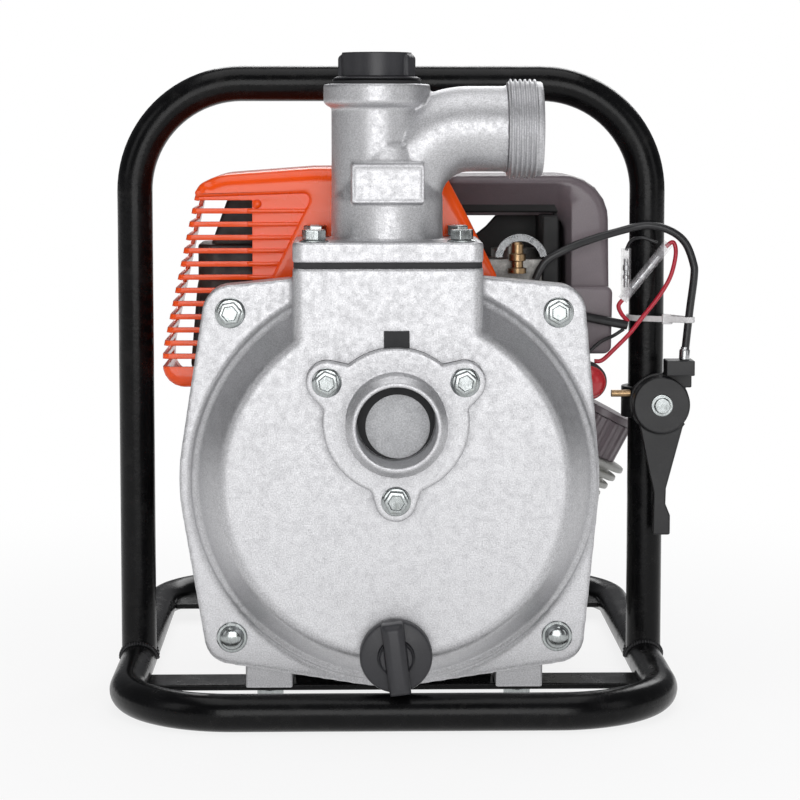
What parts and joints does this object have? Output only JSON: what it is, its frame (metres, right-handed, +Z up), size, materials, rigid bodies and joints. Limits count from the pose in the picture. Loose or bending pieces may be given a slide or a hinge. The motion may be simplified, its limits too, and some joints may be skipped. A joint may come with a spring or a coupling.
{
  "type": "portable fire pump",
  "caption": "Portable self-priming fire pump: cast pump with threaded inlet and elbow outlet, two-stroke engine behind it, in a bent-tube carrying frame.",
  "frame": {"origin": "on the floor, midway between the side tubes, 149 mm behind the front of the base loop and 22 mm in front of the hoop", "axes": "+X towards the outlet side, -Y towards the pump inlet, +Z up"},
  "size_m": [0.2961, 0.3495, 0.3204],
  "materials": {
    "frame_paint": "black gloss powder coat",
    "cast_aluminium": "bead-blasted casting",
    "engine_casting": "raw die casting",
    "zinc_steel": "zinc-plated bolts",
    "machined_steel": "ground steel",
    "bronze": "cast bronze",
    "rubber_black": "matt moulded rubber",
    "gasket": "pressed gasket sheet",
    "flap_rubber": "grey rubber flap",
    "black_plastic": "moulded glass-filled nylon",
    "knob_plastic": "moulded",
    "orange_plastic": "gloss moulded cover",
    "filter_plastic": "satin mauve-grey",
    "cap_plastic": "satin mauve-grey",
    "tank_plastic": "blow-moulded",
    "muffler_steel": "heat-proof black",
    "carburettor_metal": "die casting",
    "bulb_rubber": "clear bulb",
    "brass": "turned",
    "red_plastic": "moulded button",
    "red_insulation": "wire insulation",
    "black_insulation": "cable jacket",
    "clear_sleeve": "clear insulating sleeve",
    "white_nylon": "cable tie",
    "ceramic": "carbon and ceramic seal ring",
    "hose_rubber": "fuel hose"
  },
  "bodies": {
    "frame": {"base_loop": "frame_paint", "handle_hoop": "frame_paint", "front_cross_plate": "frame_paint", "rear_cross_plate": "frame_paint", "foot_bolts": "zinc_steel", "rear_isolators": "rubber_black", "pump_front_casing": "cast_aluminium", "pump_rear_casing": "cast_aluminium", "casing_gasket": "gasket", "casing_bolts": "zinc_steel", "volute": "engine_casting", "seal_seat": "ceramic", "outlet_gasket": "gasket", "outlet_elbow": "cast_aluminium", "outlet_bolts": "zinc_steel", "inlet_gasket": "gasket", "inlet_flange": "cast_aluminium", "inlet_bolts": "zinc_steel", "crankcase_front": "engine_casting", "crankcase_rear": "engine_casting", "engine_cylinder": "engine_casting", "ignition_coil": "black_plastic", "spark_plug": "machined_steel", "fan_housing": "black_plastic", "starter_housing": "black_plastic", "muffler": "muffler_steel", "engine_cover": "orange_plastic", "carburettor": "carburettor_metal", "air_filter_base": "black_plastic", "air_filter_cover": "filter_plastic", "fuel_tank": "tank_plastic", "fuel_hose": "hose_rubber", "throttle_bracket": "black_plastic", "throttle_screw": "zinc_steel", "throttle_adjuster": "brass", "throttle_cable": "black_insulation", "stop_switch": "black_plastic", "red_wire": "red_insulation", "black_wires": "black_insulation", "wire_connectors": "clear_sleeve", "cable_tie": "white_nylon"},
    "crank": {"crankshaft": "machined_steel", "impeller": "bronze", "seal_rotor": "rubber_black", "flywheel": "engine_casting"},
    "piston": {"piston": "engine_casting"},
    "connecting_rod": {"connecting_rod": "machined_steel"},
    "inlet_flap": {"inlet_flap": "flap_rubber"},
    "drain_seal": {"drain_plug_seal": "gasket"},
    "drain_plug": {"drain_plug": "knob_plastic"},
    "priming_seal": {"priming_plug_seal": "gasket"},
    "priming_plug": {"priming_plug": "knob_plastic"},
    "cap_seal": {"fuel_cap_seal": "gasket"},
    "fuel_cap": {"fuel_cap": "cap_plastic"},
    "starter_handle": {"starter_handle": "rubber_black"},
    "starter_pulley": {"starter_pulley": "black_plastic"},
    "throttle_lever": {"throttle_lever": "black_plastic"},
    "throttle_arm": {"throttle_arm": "zinc_steel"},
    "stop_button": {"stop_button": "red_plastic"},
    "primer_bulb": {"primer_bulb": "bulb_rubber"}
  },
  "joints": [
    {"name": "crank_spin", "type": "hinge", "parent": "frame", "child": "crank", "pos_m": [0, -0.026, 0.115], "axis": [0, 1, 0], "continuous": true},
    {"name": "piston_stroke", "type": "slide", "parent": "frame", "child": "piston", "axis": [0, 0, -1], "range_m": [0, 0.03]},
    {"name": "rod_swing", "type": "hinge", "parent": "piston", "child": "connecting_rod", "pos_m": [0, -0.026, 0.186], "axis": [0, 1, 0], "range_deg": [-15, 15]},
    {"name": "flap_swing", "type": "hinge", "parent": "frame", "child": "inlet_flap", "pos_m": [0, -0.1339, 0.1679], "axis": [1, 0, 0], "range_deg": [0, 20]},
    {"name": "drain_lift", "type": "slide", "parent": "frame", "child": "drain_seal", "axis": [0, -1, 0], "range_m": [0, 0.0165]},
    {"name": "drain_turn", "type": "hinge", "parent": "drain_seal", "child": "drain_plug", "pos_m": [0, -0.134, 0.036], "axis": [0, -1, 0], "range_deg": [0, 1440]},
    {"name": "priming_lift", "type": "slide", "parent": "frame", "child": "priming_seal", "axis": [0, 0, 1], "range_m": [0, 0.0165]},
    {"name": "priming_turn", "type": "hinge", "parent": "priming_seal", "child": "priming_plug", "pos_m": [-0.0084, -0.098, 0.3054], "axis": [0, 0, 1], "range_deg": [0, 1440]},
    {"name": "cap_lift", "type": "slide", "parent": "frame", "child": "cap_seal", "axis": [0.4695, 0, 0.8829], "range_m": [0, 0.0165]},
    {"name": "cap_turn", "type": "hinge", "parent": "cap_seal", "child": "fuel_cap", "pos_m": [0.097, 0.008, 0.105], "axis": [0.4695, 0, 0.8829], "range_deg": [0, 1440]},
    {"name": "starter_pull", "type": "slide", "parent": "frame", "child": "starter_handle", "axis": [0, 0, 1], "range_m": [0, 0.08], "stiffness_N_per_m": 40, "springref_m": -0.02},
    {"name": "pulley_spin", "type": "hinge", "parent": "frame", "child": "starter_pulley", "pos_m": [0, 0.082, 0.115], "axis": [0, 1, 0], "range_deg": [0, 195]},
    {"name": "lever_swing", "type": "hinge", "parent": "frame", "child": "throttle_lever", "pos_m": [0.1373, -0.04, 0.1436], "axis": [0, 1, 0], "range_deg": [0, 60]},
    {"name": "arm_swing", "type": "hinge", "parent": "frame", "child": "throttle_arm", "pos_m": [0.06, -0.044, 0.189], "axis": [0, -1, 0], "range_deg": [0, 60]},
    {"name": "stop_press", "type": "slide", "parent": "frame", "child": "stop_button", "axis": [0, 1, 0], "range_m": [0, 0.0018], "stiffness_N_per_m": 400, "springref_m": -0.001},
    {"name": "bulb_press", "type": "slide", "parent": "frame", "child": "primer_bulb", "axis": [0, 0, 1], "range_m": [0, 0.003], "stiffness_N_per_m": 300, "springref_m": -0.001}
  ],
  "couplings": [
    {"joint": "drain_lift", "follows": "drain_turn", "m_per_rad": 0.000637},
    {"joint": "priming_lift", "follows": "priming_turn", "m_per_rad": 0.000637},
    {"joint": "cap_lift", "follows": "cap_turn", "m_per_rad": 0.000637},
    {"joint": "pulley_spin", "follows": "starter_pull", "rad_per_m": 41.67},
    {"joint": "arm_swing", "follows": "lever_swing", "ratio": 0.95}
  ]
}
